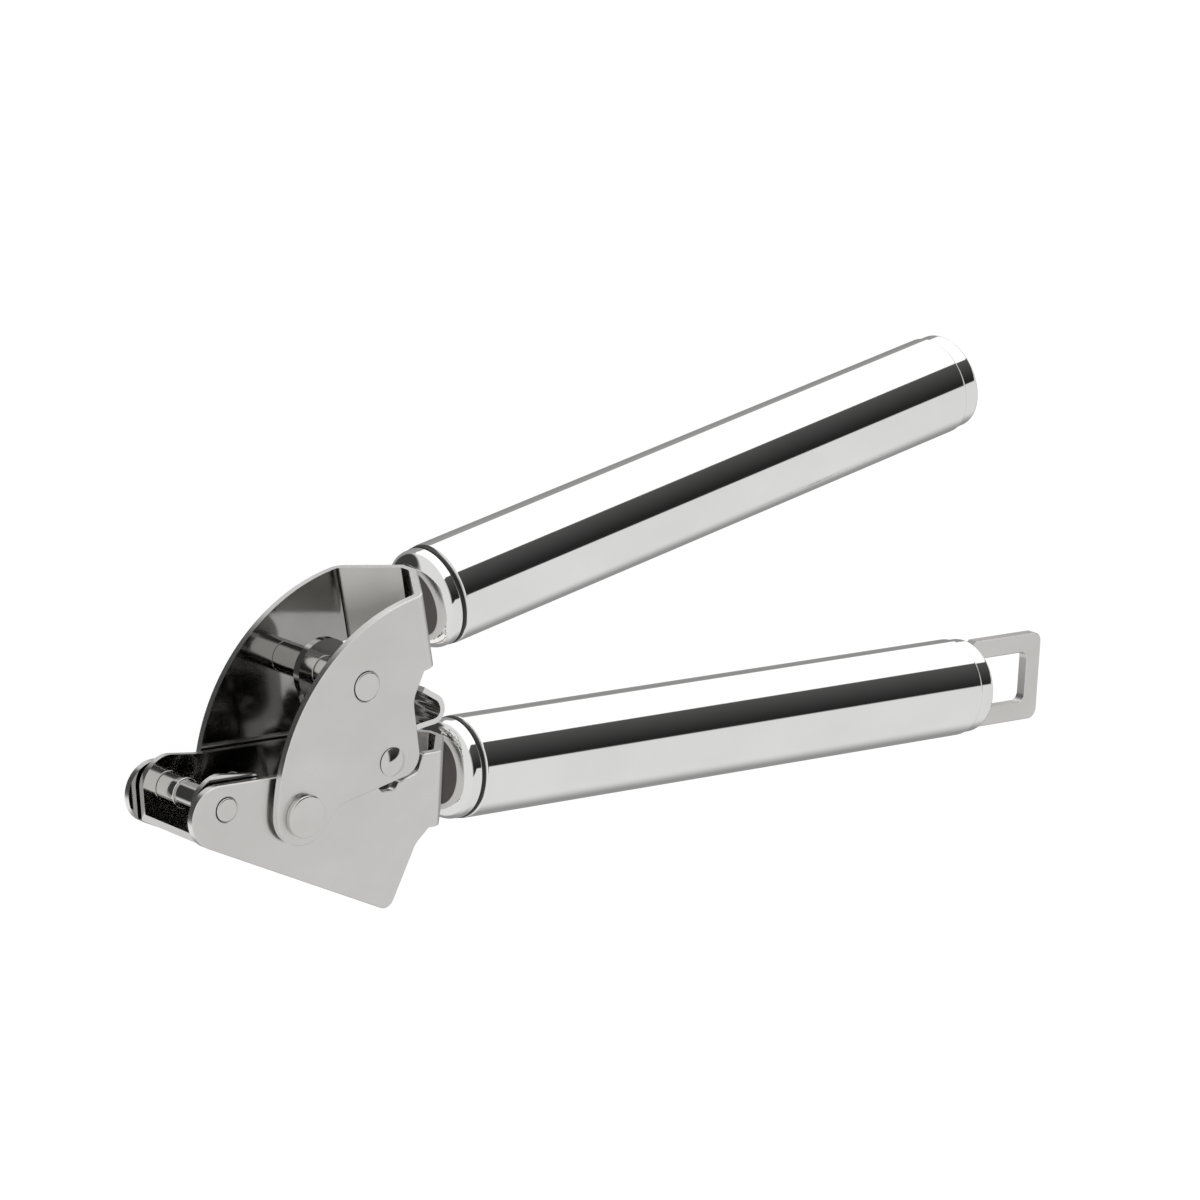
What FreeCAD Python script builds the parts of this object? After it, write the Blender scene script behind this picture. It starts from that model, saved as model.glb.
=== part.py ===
import FreeCAD, Part
import math
import os
from types import SimpleNamespace

import Sketcher

# Garlic press with two round tube handles, lying on its side.
#
# Frame: the origin is on the axis of the main pivot, on the surface that the press lies on.
# +X runs along the lower handle towards the hanging loop, +Y is the way the upper handle
# opens, and +Z is up, along every pin. "Left" pieces are the upper ones as it lies,
# "right" pieces the lower ones. Lengths are in millimetres and angles in degrees.
#
# Three working frames are used, each turned about +Z:
#   lower    the lower handle's own, which is the frame of the whole part;
#   upper    the upper handle's own, the same as the lower one when the press is shut,
#            and turned by opening_angle about the main pivot as the press is stored;
#   channel  along the sloping floor of the sieve basket, with its origin on the front pin.

SIZES = {
    # Handles: a tube, its front ferrule, a black seal ring between them, and an end cap.
    "tube_diameter": 19.0,
    "tube_wall": 0.8,
    "tube_length": 123.5,
    "tube_lip_round": 0.4,
    "ferrule_front": 39.2,
    "ferrule_length": 3.8,
    "ferrule_step": 0.25,
    "ferrule_shoulder": 1.9,
    "ferrule_face_diameter": 15.8,
    "dish_diameter": 14.6,
    "dish_depth": 0.5,
    "ring_width": 0.9,
    "ring_step": 0.12,
    "spigot_length": 9.0,
    "spigot_clearance": 0.02,
    "cap_length": 3.5,
    "cap_step": 0.3,
    "cap_round": 0.9,
    "handle_spacing": 23.75,
    "opening_angle": 13.2,
    # Hanging loop: a flat plate whose tang sits in a slot of the lower end cap.
    "loop_thickness": 2.4,
    "loop_width": 17.6,
    "loop_length": 19.6,
    "loop_end_bar": 3.6,
    "loop_side_bar": 3.7,
    "loop_root_bar": 2.6,
    "loop_corner_cut": 1.8,
    "loop_round": 2.0,
    "loop_hole_round": 1.5,
    "tang_width": 10.0,
    "tang_length": 7.0,
    "tang_clearance": 0.05,
    # Frames: one bent sheet each, two side plates joined by a V-shaped web behind them.
    "sheet": 1.5,
    "upper_width": 25.8,
    "lower_width": 20.9,
    "web_height": 14.0,
    "web_lap": 2.0,
    "rear_edge": 32.3,
    "nose_width": 3.2,
    "bend_round": 1.4,
    "edge_chamfer": 0.2,
    # Upper side plates: a sector with a round boss at the pivot.
    "boss_radius": 5.6,
    "boss_straight": 0.8,
    "waist_x": 27.0,
    "waist_y": 12.2,
    "waist_round": 5.0,
    "stud_corner_x": 26.5,
    "belly_y": -1.1,
    "stud_corner_round": 3.8,
    "throat_x": 8.0,
    "throat_round": 3.0,
    # Lower side plates: a round front lobe, a long sloping bottom edge and a stud notch.
    "lobe_point_x": -44.9,
    "lobe_round": 5.8,
    "heel_x": 22.0,
    "heel_y": -21.5,
    "heel_round": 2.2,
    "hock_x": 27.4,
    "hock_y": -9.7,
    "hock_round": 4.0,
    "notch_rear_x": 28.2,
    "notch_shelf_x": 27.2,
    "notch_shelf_y": 3.8,
    "notch_step_x": 22.9,
    "notch_step_y": 2.4,
    "notch_side_gap": 0.25,
    "notch_depth_gap": 0.15,
    "notch_lean": 0.9,
    "notch_round": 1.4,
    "plate_corner_round": 0.8,
    # Main pivot: a short rivet and a washer on each side, so the chamber stays open.
    "pivot_diameter": 5.5,
    "pivot_head_diameter": 7.8,
    "pivot_head_height": 1.2,
    "pivot_clearance": 0.05,
    "washer_diameter": 9.6,
    "washer_gap": 0.06,
    "rivet_chamfer": 0.3,
    # Stop studs: domed rivets in the upper plates that end in the notches when it is shut.
    "stud_x": 20.36,
    "stud_y": 2.71,
    "stud_diameter": 3.0,
    "stud_length_inside": 2.3,
    "dome_diameter": 5.3,
    "dome_height": 1.1,
    # Press pin: the cross pin that carries the plunger, with a spacer tube on each side.
    "press_pin_x": 17.5,
    "press_pin_y": 18.35,
    "press_pin_diameter": 4.0,
    "press_pin_end": 5.5,
    "press_pin_proud": 0.15,
    "spacer_diameter": 6.0,
    "spacer_clearance": 0.05,
    # Plunger: a stem plate hanging on the press pin, and a bent press foot welded to it.
    "stem_thickness": 1.6,
    "stem_gap": 0.08,
    "stem_head_round": 6.1,
    "stem_front_x": 1.9,
    "stem_front_y": -24.8,
    "stem_front_round": 4.0,
    "stem_weld_low": 0.2,
    "stem_weld_high": 0.3,
    "foot_clearance": 0.35,
    "foot_sheet": 1.0,
    "foot_bottom_x": 2.9,
    "foot_bottom_y": -37.1,
    "foot_top_x": 7.1,
    "foot_top_y": -27.15,
    "tail_bend_x": 15.7,
    "tail_bend_y": -11.5,
    "curl_low_x": 23.8,
    "curl_low_y": -10.35,
    "curl_rear_x": 21.8,
    "curl_rear_y": -6.0,
    "curl_top_x": 17.8,
    "curl_top_y": -3.7,
    "foot_bend_round": 3.0,
    "curl_round": 1.6,
    # Front pin: carries the swing-out sieve basket, with a wide and a narrow sleeve.
    "front_pin_x": -15.0,
    "front_pin_y": 2.45,
    "front_pin_diameter": 3.4,
    "front_pin_end": 4.5,
    "front_pin_proud": 0.15,
    "sleeve_diameter": 5.7,
    "collar_diameter": 5.0,
    "sleeve_length": 5.2,
    "sleeve_clearance": 0.05,
    # Sieve basket, in the channel frame: floor, low side walls, two ears, rear sieve wall.
    "channel_slope": 23.0,
    "basket_gap": 0.6,
    "basket_wall": 1.2,
    "ear_gap": 0.1,
    "floor_under": -7.3,
    "floor_thickness": 1.2,
    "floor_front": -2.0,
    "rear_wall_inside": 42.4,
    "rear_wall_top": 3.1,
    "side_wall_top": -1.4,
    "ear_front": -6.3,
    "ear_brow_x": -3.8,
    "ear_brow_y": 4.9,
    "ear_tip_x": 6.1,
    "ear_tip_y": 7.9,
    "ear_back_x": 6.4,
    "ear_back_y": 0.5,
    "ear_front_round": 4.6,
    "ear_brow_round": 5.0,
    "basket_round": 1.2,
    "sieve_hole": 1.7,
    "sieve_pitch": 2.5,
    "sieve_margin": 2.0,
}

# Sieve holes: across the basket, up the rear wall and along the rear of the floor.
HOLES_ACROSS = 6
WALL_ROWS = 3
FLOOR_ROWS = 7

SIDES = {"left": 1, "right": -1}


class Size:
    """A dimension: its number now, and the spreadsheet expression that gives it."""

    def __init__(self, number, text):
        self.number = number
        self.text = text

    def __add__(self, other):
        other = as_size(other)
        return Size(self.number + other.number, f"({self.text} + {other.text})")

    def __sub__(self, other):
        other = as_size(other)
        return Size(self.number - other.number, f"({self.text} - {other.text})")

    def __mul__(self, other):
        other = as_size(other)
        return Size(self.number * other.number, f"({self.text} * {other.text})")

    def __truediv__(self, other):
        other = as_size(other)
        return Size(self.number / other.number, f"({self.text} / {other.text})")

    def __neg__(self):
        return self * -1


def as_size(value):
    """A plain number as a Size; a Size stays as it is."""
    if isinstance(value, Size):
        return value
    return Size(float(value), f"({float(value)!r})")


def root(value):
    """Square root of a size."""
    return Size(math.sqrt(value.number), f"sqrt({value.text})")


def cosine(angle):
    """Cosine of an angle in degrees."""
    return Size(math.cos(math.radians(angle.number)), f"cos({angle.text} * 1 deg)")


def sine(angle):
    """Sine of an angle in degrees."""
    return Size(math.sin(math.radians(angle.number)), f"sin({angle.text} * 1 deg)")


def solved(number):
    """A coordinate that the sketch's other constraints settle."""
    return Size(number, None)


document = FreeCAD.newDocument("GarlicPress")
sheet = document.addObject("Spreadsheet::Sheet", "Sizes")
for row, (name, value) in enumerate(SIZES.items(), start=1):
    sheet.set(f"A{row}", name)
    sheet.set(f"B{row}", repr(value))
    sheet.setAlias(f"B{row}", name)
document.recompute()
size = SimpleNamespace(**{name: Size(value, f"Sizes.{name}") for name, value in SIZES.items()})

# Derived sizes that several pieces share.
half_height = size.upper_width / 2 + size.pivot_clearance + size.pivot_head_height
upper_outside = size.upper_width / 2
upper_inside = upper_outside - size.sheet
lower_outside = size.lower_width / 2
lower_inside = lower_outside - size.sheet
tube_radius = size.tube_diameter / 2
spigot_radius = tube_radius - size.tube_wall - size.spigot_clearance
ring_front = size.ferrule_front + size.ferrule_length
tube_front = ring_front + size.ring_width
tube_rear = tube_front + size.tube_length
cap_rear = tube_rear + size.cap_length
plate_rear = size.rear_edge - size.web_lap
nose_rear = size.ferrule_front + size.dish_depth
basket_outside = lower_inside - size.basket_gap
basket_inside = basket_outside - size.basket_wall
open_cosine = cosine(size.opening_angle)
open_sine = sine(size.opening_angle)
press_pin_rest_x = size.press_pin_x * open_cosine - size.press_pin_y * open_sine
press_pin_rest_y = size.press_pin_x * open_sine + size.press_pin_y * open_cosine

pieces = []


def bind(item, prop, value):
    """Bind a property to its expression."""
    item.setExpression(prop, as_size(value).text)


def new_body(label):
    """A sub-part of its own; its label names its file."""
    body = document.addObject("PartDesign::Body", label)
    body.Label = label
    pieces.append(body)
    return body


def new_sketch(body, role, lift=0):
    """A sketch on one of the body's origin planes, lifted along the plane's normal."""
    plane = next(item for item in body.Origin.OriginFeatures if item.Role == role)
    sketch = body.newObject("Sketcher::SketchObject", "Sketch")
    sketch.AttachmentSupport = [(plane, "")]
    sketch.MapMode = "FlatFace"
    bind(sketch, "AttachmentOffset.Base.z", lift)
    return sketch


def measure(sketch, kind, where, value):
    """Add a constraint with a datum bound to a size; where is the constraint's geometry."""
    value = as_size(value)
    if value.text is None:
        return
    index = sketch.addConstraint(Sketcher.Constraint(kind, *where, value.number))
    sketch.setExpression(f"Constraints[{index}]", value.text)


def fix_point(sketch, geometry, point, x, y):
    """Hold one point of a sketch at x, y from its origin."""
    measure(sketch, "DistanceX", (-1, 1, geometry, point), x)
    measure(sketch, "DistanceY", (-1, 1, geometry, point), y)


def vector(x, y):
    return FreeCAD.Vector(as_size(x).number, as_size(y).number, 0)


def circle(sketch, x, y, diameter):
    """A full circle about x, y."""
    index = sketch.addGeometry(Part.Circle(vector(x, y), vector(0, 0) + FreeCAD.Vector(0, 0, 1), 1))
    fix_point(sketch, index, 3, x, y)
    measure(sketch, "Diameter", (index,), diameter)


def round_arc(sketch, centre, enter, leave):
    """Draw a corner's arc; also give the numbers of its ends, the entered one first."""
    turns_left = (enter - centre).cross(leave - centre).z > 0
    first, last = (enter, leave) if turns_left else (leave, enter)
    start = math.atan2(first.y - centre.y, first.x - centre.x)
    stop = math.atan2(last.y - centre.y, last.x - centre.x)
    full = Part.Circle(centre, FreeCAD.Vector(0, 0, 1), first.distanceToPoint(centre))
    arc = sketch.addGeometry(Part.ArcOfCircle(full, start, stop))
    return (arc, 1, 2) if turns_left else (arc, 2, 1)


def outline(sketch, corners, bulge=None):
    """Draw a closed outline.

    Each corner is (x, y) or (x, y, round). A bulge is the centre (x, y) of an arc that
    closes the outline from its last corner back to its first, in place of a line.
    """
    corners = [tuple(as_size(value) for value in corner) for corner in corners]
    count = len(corners)
    places = [vector(corner[0], corner[1]) for corner in corners]
    starts = list(places)
    ends = list(places)
    arcs = {}
    for index, corner in enumerate(corners):
        if len(corner) == 3:
            back = (places[index - 1] - places[index]).normalize()
            ahead = (places[(index + 1) % count] - places[index]).normalize()
            half_turn = back.getAngle(ahead) / 2
            trim = corner[2].number / math.tan(half_turn)
            ends[index] = places[index] + back * trim
            starts[index] = places[index] + ahead * trim
            middle = (back + ahead).normalize()
            centre = places[index] + middle * (corner[2].number / math.sin(half_turn))
            arcs[index] = centre
    line_count = count if bulge is None else count - 1
    lines = []
    for index in range(line_count):
        segment = Part.LineSegment(starts[index], ends[(index + 1) % count])
        lines.append(sketch.addGeometry(segment))
    for index, corner in enumerate(corners):
        before = lines[index - 1] if index > 0 or bulge is None else None
        after = lines[index] if index < line_count else None
        if index in arcs:
            arc_index, first, second = round_arc(sketch, arcs[index], ends[index], starts[index])
            sketch.addConstraint(Sketcher.Constraint("Tangent", before, 2, arc_index, first))
            sketch.addConstraint(Sketcher.Constraint("Tangent", arc_index, second, after, 1))
            measure(sketch, "Radius", (arc_index,), corner[2])
            mark = sketch.addGeometry(Part.Point(places[index]), True)
            sketch.addConstraint(Sketcher.Constraint("PointOnObject", mark, 1, before))
            sketch.addConstraint(Sketcher.Constraint("PointOnObject", mark, 1, after))
            fix_point(sketch, mark, 1, corner[0], corner[1])
        else:
            if before is not None and after is not None:
                sketch.addConstraint(Sketcher.Constraint("Coincident", before, 2, after, 1))
            anchor = (after, 1) if after is not None else (before, 2)
            fix_point(sketch, *anchor, corner[0], corner[1])
    if bulge is not None:
        close_with_arc(sketch, places, lines, bulge)


def close_with_arc(sketch, places, lines, bulge):
    """Close an outline with an arc about the bulge's centre, on its outer side."""
    centre = vector(*bulge)
    turn = sum(a.x * b.y - b.x * a.y for a, b in zip(places, places[1:] + places[:1]))
    first, last = (places[-1], places[0]) if turn > 0 else (places[0], places[-1])
    first_line, last_line = ((lines[-1], 2), (lines[0], 1)) if turn > 0 else ((lines[0], 1), (lines[-1], 2))
    start = math.atan2(first.y - centre.y, first.x - centre.x)
    stop = math.atan2(last.y - centre.y, last.x - centre.x)
    full = Part.Circle(centre, FreeCAD.Vector(0, 0, 1), first.distanceToPoint(centre))
    index = sketch.addGeometry(Part.ArcOfCircle(full, start, stop))
    sketch.addConstraint(Sketcher.Constraint("Coincident", index, 1, *first_line))
    sketch.addConstraint(Sketcher.Constraint("Coincident", index, 2, *last_line))
    fix_point(sketch, index, 3, *bulge)


def ribbon(path, thickness):
    """Corners of a strip of sheet that has the path as one face, thickness to its left.

    Each point of the path is (x, y) or (x, y, round); round is the bend's inner radius.
    """
    path = [tuple(as_size(value) for value in point) for point in path]
    normals = []
    for (x, y, *_), (next_x, next_y, *_) in zip(path, path[1:]):
        run_x = next_x - x
        run_y = next_y - y
        run = root(run_x * run_x + run_y * run_y)
        normals.append((-run_y / run, run_x / run))
    face = []
    back = []
    for index, (x, y, *bend) in enumerate(path):
        before = normals[max(index - 1, 0)]
        after = normals[min(index, len(normals) - 1)]
        spread = before[0] * after[0] + before[1] * after[1] + 1
        back_x = x + thickness * (before[0] + after[0]) / spread
        back_y = y + thickness * (before[1] + after[1]) / spread
        if bend:
            turn = before[0].number * after[1].number - before[1].number * after[0].number
            outer = bend[0] + thickness
            face.append((x, y, outer if turn > 0 else bend[0]))
            back.append((back_x, back_y, bend[0] if turn > 0 else outer))
        else:
            face.append((x, y))
            back.append((back_x, back_y))
    return face + back[::-1]


def pad(body, sketch, length, symmetric=False):
    """Thicken a sketch, along its normal or to both sides."""
    feature = body.newObject("PartDesign::Pad", "Pad")
    feature.Profile = sketch
    feature.SideType = "Symmetric" if symmetric else "One side"
    bind(feature, "Length", length)
    document.recompute()
    return feature


def pocket(body, sketch, length):
    """Cut a sketch out to both sides, and make sure that it cuts."""
    before = body.Shape.Volume
    feature = body.newObject("PartDesign::Pocket", "Pocket")
    feature.Profile = sketch
    feature.SideType = "Symmetric"
    bind(feature, "Length", length)
    document.recompute()
    if not body.Shape.Volume < before:
        raise ValueError(f"a pocket of {body.Label} cuts nothing")
    return feature


def turned(label, corners, axis, bulge=None):
    """A turned piece: axis "H_Axis" is along X, with corners (x, radius);
    "V_Axis" is along Z, with corners (radius, z)."""
    body = new_body(label)
    sketch = new_sketch(body, "XY_Plane" if axis == "H_Axis" else "XZ_Plane")
    outline(sketch, corners, bulge)
    feature = body.newObject("PartDesign::Revolution", "Revolution")
    feature.Profile = sketch
    feature.ReferenceAxis = (sketch, [axis])
    document.recompute()
    return body


def place(body, x=0, y=0, turn=0):
    """Put a body's own origin at x, y in the lower frame, turned about +Z."""
    bind(body, "Placement.Base.x", x)
    bind(body, "Placement.Base.y", y)
    bind(body, "Placement.Base.z", half_height)
    bind(body, "Placement.Rotation.Angle", turn)


def place_upper(body, x=0, y=0):
    """Put a body's own origin at x, y in the upper frame."""
    x = as_size(x)
    y = as_size(y)
    turn_x = x * open_cosine - y * open_sine
    turn_y = x * open_sine + y * open_cosine
    place(body, turn_x, turn_y, size.opening_angle)


def chamfer_rims(body, height):
    """Break the cut edges of the two faces that lie at plus and minus height."""
    shape = body.Shape
    names = []
    for number, edge in enumerate(shape.Edges, start=1):
        flat = all(abs(abs(vertex.Z) - height.number) < 1e-6 for vertex in edge.Vertexes)
        if not flat or edge.Length < 4 * size.edge_chamfer.number:
            continue
        middle = edge.valueAt((edge.FirstParameter + edge.LastParameter) / 2)
        if abs(abs(middle.z) - height.number) > 1e-6:
            continue
        upright = 0
        for face in shape.ancestorsOfType(edge, Part.Face):
            u, v = face.Surface.parameter(middle)
            if abs(face.normalAt(u, v).z) < 1e-6:
                upright += 1
        if upright == 1:
            names.append(f"Edge{number}")
    base = body.Tip
    feature = body.newObject("PartDesign::Chamfer", "Chamfer")
    feature.Base = (base, names)
    bind(feature, "Size", size.edge_chamfer)
    document.recompute()


# Frames ---------------------------------------------------------------------------------

def bent_frame(label, width, web_y, corners, bulge=None):
    """Two side plates joined behind by a V-shaped web with a flat nose."""
    body = new_body(label)
    web = new_sketch(body, "XZ_Plane", -as_size(web_y))
    half = width / 2
    nose = size.nose_width / 2
    path = [
        (plate_rear, -half),
        (size.rear_edge, -half, size.bend_round),
        (nose_rear, -nose, size.bend_round / 3),
        (nose_rear, nose, size.bend_round / 3),
        (size.rear_edge, half, size.bend_round),
        (plate_rear, half),
    ]
    outline(web, ribbon(path, size.sheet))
    pad(body, web, size.web_height, symmetric=True)
    for lift in (half - size.sheet, -half):
        plate = new_sketch(body, "XY_Plane", lift)
        outline(plate, corners, bulge)
        pad(body, plate, size.sheet)
    return body


def drill(body, holes, width):
    """Bore round holes (x, y, diameter) through both side plates."""
    sketch = new_sketch(body, "XY_Plane")
    for x, y, diameter in holes:
        circle(sketch, x, y, diameter)
    pocket(body, sketch, width * 2)


def upper_frame():
    """The sector-shaped frame of the upper handle, drawn in the upper frame.

    The sector's arc runs on into a short straight, which runs on into the round boss about
    the pivot. The arc's centre lies below the web's top, where all three touch smoothly.
    Each of the two straights beside the boss is given by its unit normal.
    """
    web_top = size.handle_spacing + size.web_height / 2
    web_bottom = size.handle_spacing - size.web_height / 2
    boss_radius = size.boss_radius
    rise = web_top - boss_radius
    straight = size.boss_straight * size.boss_straight
    sector_y = (rise * rise - plate_rear * plate_rear + straight) / (rise * 2)
    radius = web_top - sector_y
    reach = root(plate_rear * plate_rear + sector_y * sector_y)
    run = root(reach * reach - straight)
    turn = reach * reach
    normal_x = (plate_rear * run + sector_y * size.boss_straight) / turn
    normal_y = (sector_y * run - plate_rear * size.boss_straight) / turn
    span = root(size.throat_x * size.throat_x + size.belly_y * size.belly_y)
    touch = root(span * span - boss_radius * boss_radius)
    throat_normal_x = -(size.throat_x * boss_radius + size.belly_y * touch) / (span * span)
    throat_normal_y = -(size.belly_y * boss_radius - size.throat_x * touch) / (span * span)
    spread = (normal_x * throat_normal_x + normal_y * throat_normal_y + 1) / boss_radius
    corners = [
        (plate_rear, web_top),
        (plate_rear, web_bottom),
        (size.waist_x, size.waist_y, size.waist_round),
        (size.stud_corner_x, size.belly_y, size.stud_corner_round),
        (size.throat_x, size.belly_y, size.throat_round),
        (-(normal_x + throat_normal_x) / spread, -(normal_y + throat_normal_y) / spread, boss_radius),
        (solved((plate_rear - radius * normal_x).number), sector_y - radius * normal_y),
    ]
    bulge = (plate_rear, sector_y)
    body = bent_frame("upper_frame", size.upper_width, size.handle_spacing, corners, bulge)
    holes = [
        (0, 0, size.pivot_diameter + size.pivot_clearance * 2),
        (size.press_pin_x, size.press_pin_y, size.press_pin_end),
        (size.stud_x, size.stud_y, size.stud_diameter),
    ]
    drill(body, holes, size.upper_width)
    chamfer_rims(body, upper_outside)
    place_upper(body)


def lower_frame():
    """The long frame of the lower handle, which holds the sieve basket."""
    web_half = size.web_height / 2
    notch_floor = size.stud_y - size.stud_diameter / 2 - size.notch_depth_gap
    notch_half = size.stud_diameter / 2 + size.notch_side_gap
    notch_front = size.stud_x - notch_half
    corners = [
        (plate_rear, web_half),
        (size.notch_rear_x, web_half, size.plate_corner_round),
        (size.notch_shelf_x, size.notch_shelf_y, size.notch_round),
        (size.notch_step_x, size.notch_step_y),
        (size.stud_x + notch_half, notch_floor, size.notch_round),
        (notch_front, notch_floor, size.notch_round),
        (notch_front - size.notch_lean, web_half, size.plate_corner_round),
        # The top edge and the sloping bottom edge would meet here; the lobe is their round.
        (size.lobe_point_x, web_half, size.lobe_round),
        (size.heel_x, size.heel_y, size.heel_round),
        (size.hock_x, size.hock_y, size.hock_round),
        (plate_rear, -web_half),
    ]
    body = bent_frame("lower_frame", size.lower_width, 0, corners)
    holes = [
        (0, 0, size.pivot_diameter),
        (size.front_pin_x, size.front_pin_y, size.front_pin_end),
    ]
    drill(body, holes, size.lower_width)
    chamfer_rims(body, lower_outside)
    place(body)


# Handles --------------------------------------------------------------------------------

def tube(label):
    """The round handle tube, with its two lips rounded."""
    bore = tube_radius - size.tube_wall
    corners = [
        (tube_front, bore),
        (tube_front, tube_radius, size.tube_lip_round),
        (tube_rear, tube_radius, size.tube_lip_round),
        (tube_rear, bore),
    ]
    return turned(label, corners, "H_Axis")


def ferrule(label):
    """The front ferrule: a dished face, a rounded shoulder, a band, and a spigot in the tube."""
    band = tube_radius - size.ferrule_step
    face = size.ferrule_face_diameter / 2
    dish = size.dish_diameter / 2
    middle = (face + band) / 2
    shoulder = size.ferrule_front + size.ferrule_shoulder
    spigot_end = tube_front + size.spigot_length
    corners = [
        (nose_rear, 0),
        (nose_rear, dish),
        (size.ferrule_front, dish),
        (size.ferrule_front, face, 0.5),
        ((size.ferrule_front * 2 + shoulder) / 3, middle, 0.6),
        (shoulder, band, 0.8),
        (ring_front, band, 0.15),
        (ring_front, spigot_radius),
        (spigot_end, spigot_radius, 0.5),
        (spigot_end, 0),
    ]
    return turned(label, corners, "H_Axis")


def seal_ring(label):
    """The black ring squeezed between the ferrule's band and the tube."""
    outside = tube_radius - size.ring_step
    bore = spigot_radius + size.spigot_clearance
    corners = [
        (ring_front, bore),
        (ring_front, outside, size.ring_width / 4),
        (tube_front, outside, size.ring_width / 4),
        (tube_front, bore),
    ]
    return turned(label, corners, "H_Axis")


def end_cap(label, slotted):
    """The cap that closes a tube; the lower one has a slot for the loop's tang."""
    radius = tube_radius - size.cap_step
    spigot_front = tube_rear - size.spigot_length
    corners = [
        (spigot_front, 0),
        (spigot_front, spigot_radius, 0.5),
        (tube_rear, spigot_radius),
        (tube_rear, radius, 0.15),
        (cap_rear, radius, size.cap_round),
        (cap_rear, 0),
    ]
    body = turned(label, corners, "H_Axis")
    if slotted:
        sketch = new_sketch(body, "XY_Plane")
        half = size.tang_width / 2 + size.tang_clearance
        front = cap_rear - size.tang_length - size.tang_clearance
        rear = cap_rear + size.cap_length
        outline(sketch, [(front, -half), (rear, -half), (rear, half), (front, half)])
        pocket(body, sketch, size.loop_thickness + size.tang_clearance * 2)
    return body


def hanging_loop():
    """The flat loop with a rectangular window, on the end of the lower handle."""
    body = new_body("hanging_loop")
    half = size.loop_width / 2
    tang = size.tang_width / 2
    cut = size.loop_corner_cut
    end = cap_rear + size.loop_length
    corners = [
        (cap_rear - size.tang_length, -tang, 0.5),
        (cap_rear, -tang),
        (cap_rear, -half + cut),
        (cap_rear + cut, -half),
        (end, -half, size.loop_round),
        (end, half, size.loop_round),
        (cap_rear + cut, half),
        (cap_rear, half - cut),
        (cap_rear, tang),
        (cap_rear - size.tang_length, tang, 0.5),
    ]
    plate = new_sketch(body, "XY_Plane")
    outline(plate, corners)
    pad(body, plate, size.loop_thickness, symmetric=True)
    window = new_sketch(body, "XY_Plane")
    near = cap_rear + size.loop_root_bar
    far = end - size.loop_end_bar
    open_half = half - size.loop_side_bar
    sides = [(near, -open_half), (far, -open_half), (far, open_half), (near, open_half)]
    outline(window, [(x, y, size.loop_hole_round) for x, y in sides])
    pocket(body, window, size.loop_thickness * 2)
    chamfer_rims(body, size.loop_thickness / 2)
    place(body)


def handle(prefix, axis_y, put, slotted):
    """One round handle on an axis parallel to X; put places it in its working frame."""
    for piece in (
        tube(f"{prefix}_tube"),
        ferrule(f"{prefix}_ferrule"),
        seal_ring(f"{prefix}_seal_ring"),
        end_cap(f"{prefix}_end_cap", slotted),
    ):
        put(piece, 0, axis_y)


# Pins, rivets, washers and sleeves ---------------------------------------------------------

def collar(label, bore, outside, low, high):
    """A plain ring about +Z from low to high."""
    corners = [(bore, low), (outside, low), (outside, high), (bore, high)]
    return turned(label, corners, "V_Axis")


def pivot(side):
    """One main pivot rivet with its washer; it turns in the upper plate."""
    way = SIDES[side]
    shank = size.pivot_diameter / 2
    head = size.pivot_head_diameter / 2
    seat = (upper_outside + size.pivot_clearance) * way
    top = half_height * way
    corners = [
        (0, lower_inside * way),
        (shank, lower_inside * way),
        (shank, seat),
        (head, seat),
        (head, top - size.rivet_chamfer * way),
        (head - size.rivet_chamfer, top),
        (0, top),
    ]
    place(turned(f"pivot_rivet_{side}", corners, "V_Axis"))
    bore = shank + size.pivot_clearance
    low = lower_outside * way
    high = (upper_inside - size.washer_gap) * way
    place(collar(f"pivot_washer_{side}", bore, size.washer_diameter / 2, low, high))


def stop_stud(side):
    """A domed rivet in one upper plate, whose end runs in the lower plate's notch."""
    way = SIDES[side]
    shank = size.stud_diameter / 2
    dome = size.dome_diameter / 2
    top = (upper_outside + size.dome_height) * way
    end = (upper_inside - size.stud_length_inside) * way
    radius = (dome * dome + size.dome_height * size.dome_height) / (size.dome_height * 2)
    corners = [
        (0, top),
        (0, end),
        (shank, end, 0.3),
        (shank, upper_outside * way),
        (dome, solved(upper_outside.number * way)),
    ]
    body = turned(f"stop_stud_{side}", corners, "V_Axis", (0, top - radius * way))
    place_upper(body, size.stud_x, size.stud_y)


def cross_pin(label, diameter, end_diameter, inside, outside, proud):
    """A pin across the frame, with wider riveted ends that fill the plates' holes."""
    shank = diameter / 2
    end = end_diameter / 2
    face = outside + proud
    half = [
        (shank, inside),
        (end, inside),
        (end, face - size.rivet_chamfer),
        (end - size.rivet_chamfer, face),
        (0, face),
    ]
    mirrored = [(x, -as_size(z)) for x, z in reversed(half)]
    return turned(label, half + mirrored, "V_Axis")


def press_pin():
    """The pin that carries the plunger, and the two spacer tubes that centre its stem."""
    pin = cross_pin("press_pin", size.press_pin_diameter, size.press_pin_end,
                    upper_inside, upper_outside, size.press_pin_proud)
    place_upper(pin, size.press_pin_x, size.press_pin_y)
    bore = size.press_pin_diameter / 2 + size.spacer_clearance
    low = size.stem_thickness / 2 + size.stem_gap
    outside = size.spacer_diameter / 2
    for side, way in SIDES.items():
        spacer = collar(f"press_spacer_{side}", bore, outside, low * way, upper_inside * way)
        place_upper(spacer, size.press_pin_x, size.press_pin_y)


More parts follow.
